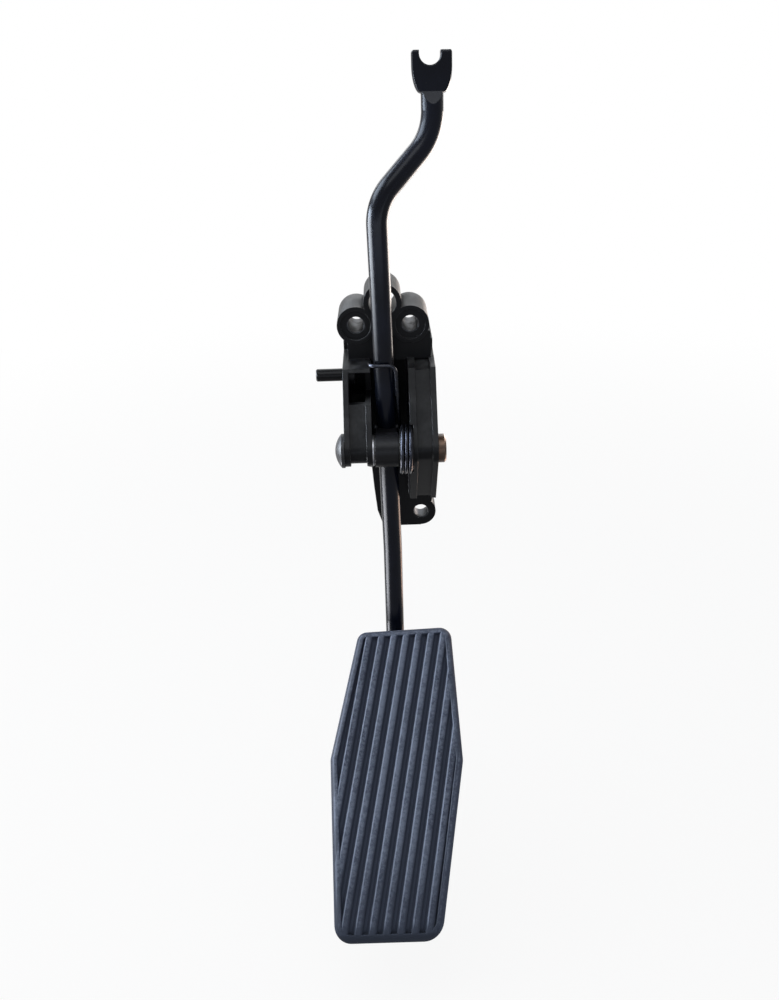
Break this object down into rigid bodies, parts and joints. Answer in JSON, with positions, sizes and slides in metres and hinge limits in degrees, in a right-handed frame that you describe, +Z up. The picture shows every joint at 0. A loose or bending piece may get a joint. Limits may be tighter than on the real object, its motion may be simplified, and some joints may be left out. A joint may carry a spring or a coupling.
{
  "type": "accelerator pedal",
  "caption": "Hanging accelerator pedal: moulded firewall bracket, bent steel lever with a cable fork on a sprung pivot, and a ribbed rubber foot pad.",
  "frame": {"origin": "midway between the two upper bolts, on the face that meets the firewall", "axes": "+X to the driver's right, +Y into the firewall, +Z up, as installed"},
  "size_m": [0.0547, 0.1459, 0.3024],
  "materials": {
    "moulding": "satin moulded black",
    "sleeve_steel": "rolled and zinc plated",
    "shaft_steel": "turned",
    "black_paint": "gloss black paint",
    "plate_paint": "satin black paint",
    "cap_plastic": "glossy black",
    "bearing_plastic": "natural bearing plastic",
    "spring_steel": "oiled dark spring wire",
    "pad_rubber": "matt grey-blue black rubber",
    "buffer_rubber": "matt black rubber"
  },
  "bodies": {
    "bracket_body": {"bracket": "moulding", "upper_left_sleeve": "sleeve_steel", "upper_right_sleeve": "sleeve_steel", "lower_sleeve": "sleeve_steel", "pivot_shaft": "shaft_steel", "shaft_cap": "cap_plastic", "left_thrust_washer": "bearing_plastic", "spring_spool": "moulding", "return_spring": "spring_steel", "side_peg": "cap_plastic", "rest_buffer": "buffer_rubber"},
    "pedal_body": {"hub": "black_paint", "hub_bush_left": "bearing_plastic", "hub_bush_right": "bearing_plastic", "lever_rod": "black_paint", "foot_plate": "plate_paint", "pedal_pad": "pad_rubber"}
  },
  "joints": [
    {"name": "pedal_pivot", "type": "hinge", "parent": "bracket_body", "child": "pedal_body", "pos_m": [0, -0.0428, -0.044], "axis": [1, 0, 0], "range_deg": [0, 18], "stiffness_Nm_per_rad": 1.5, "springref_deg": -28.65, "deforming": ["return_spring"]}
  ]
}
